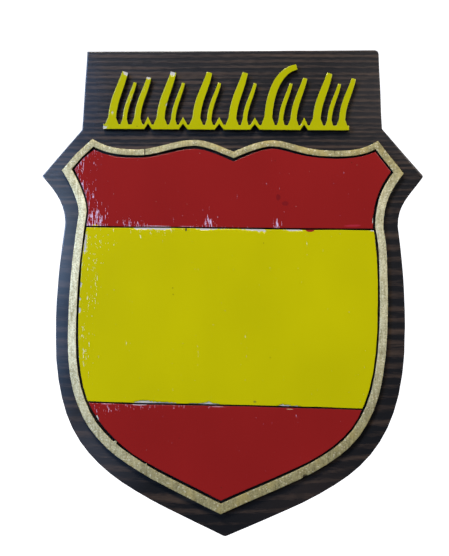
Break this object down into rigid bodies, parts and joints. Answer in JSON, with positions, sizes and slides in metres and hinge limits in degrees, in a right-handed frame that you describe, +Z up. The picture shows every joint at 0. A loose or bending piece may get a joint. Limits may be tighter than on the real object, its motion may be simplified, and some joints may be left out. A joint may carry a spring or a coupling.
{
  "type": "wooden heraldic shield plaque",
  "caption": "Wall plaque: a dark wooden shield board with a tab above, a raised gilt border, striped painted panels and a row of raised strokes.",
  "frame": {"origin": "middle of the board's back face, where the plaque meets the wall", "axes": "+Z up the plaque, +Y into the wall, +X to the viewer's right"},
  "size_m": [0.1487, 0.0133, 0.1899],
  "materials": {
    "stained_wood": "dark stained, satin lacquer, level grain",
    "gold_flake": "pale gold metal-flake film",
    "red_paint": "gloss paint, chipped and flecked",
    "yellow_paint": "gloss paint, chipped and flecked",
    "yellow_strokes": "gloss paint on the face, dark sawn sides"
  },
  "bodies": {
    "root": {"board": "stained_wood", "gilt_border": "gold_flake", "top_panel": "red_paint", "middle_panel": "yellow_paint", "bottom_panel": "red_paint", "stroke_band": "yellow_strokes"}
  },
  "joints": []
}
